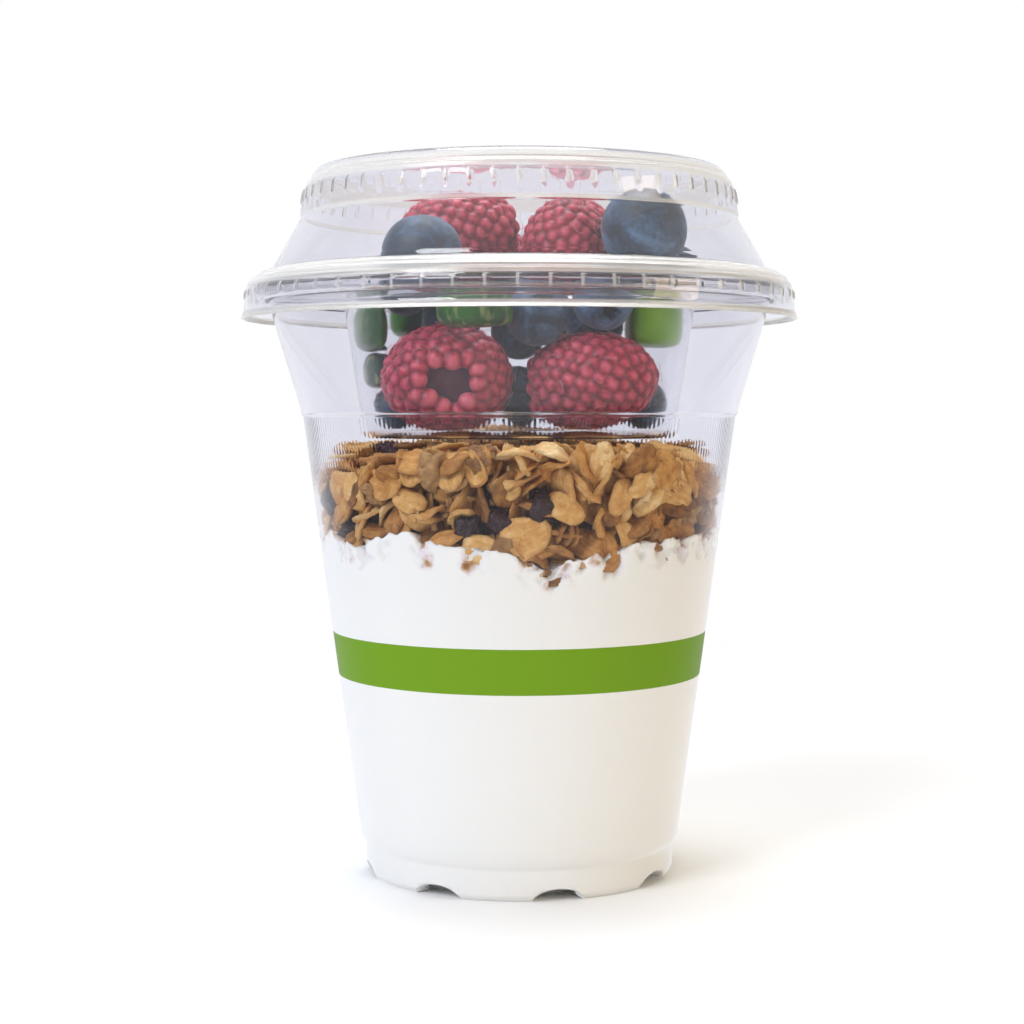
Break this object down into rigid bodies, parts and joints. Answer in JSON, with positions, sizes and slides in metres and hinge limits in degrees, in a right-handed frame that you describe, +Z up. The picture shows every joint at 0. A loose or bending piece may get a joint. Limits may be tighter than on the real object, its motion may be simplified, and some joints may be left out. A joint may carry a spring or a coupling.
{
  "type": "yogurt parfait",
  "caption": "Shut clear cup of yogurt under granola, with a hanging tub of raspberries, blueberries and kiwi under a flat-topped domed lid.",
  "frame": {"origin": "middle of the cup's base, on the surface it stands on", "axes": "+Z up through the lid; -Y is the front, where the two open raspberries show"},
  "size_m": [0.1012, 0.1012, 0.127],
  "materials": {
    "cup_plastic": "clear, glossy, thermoformed",
    "insert_plastic": "clear, glossy, thermoformed",
    "lid_plastic": "clear, glossy, thermoformed",
    "yogurt": "smooth, softly glossy",
    "granola": "toasted, dry, rough",
    "raspberry": "softly glossy, downy",
    "blueberry": "waxy bloom",
    "kiwi": "moist, translucent"
  },
  "bodies": {
    "root": {"cup": "cup_plastic", "insert": "insert_plastic", "lid": "lid_plastic", "yogurt": "yogurt", "granola": "granola", "raspberry_1": "raspberry", "raspberry_2": "raspberry", "raspberry_3": "raspberry", "raspberry_4": "raspberry", "raspberry_5": "raspberry", "raspberry_6": "raspberry", "raspberry_7": "raspberry", "raspberry_8": "raspberry", "blueberry_1": "blueberry", "blueberry_2": "blueberry", "blueberry_3": "blueberry", "blueberry_4": "blueberry", "blueberry_5": "blueberry", "blueberry_6": "blueberry", "blueberry_7": "blueberry", "blueberry_8": "blueberry", "blueberry_9": "blueberry", "blueberry_10": "blueberry", "blueberry_11": "blueberry", "blueberry_12": "blueberry", "blueberry_13": "blueberry", "blueberry_14": "blueberry", "blueberry_15": "blueberry", "blueberry_16": "blueberry", "kiwi_1": "kiwi", "kiwi_2": "kiwi", "kiwi_3": "kiwi", "kiwi_4": "kiwi", "kiwi_5": "kiwi", "kiwi_6": "kiwi"}
  },
  "joints": []
}
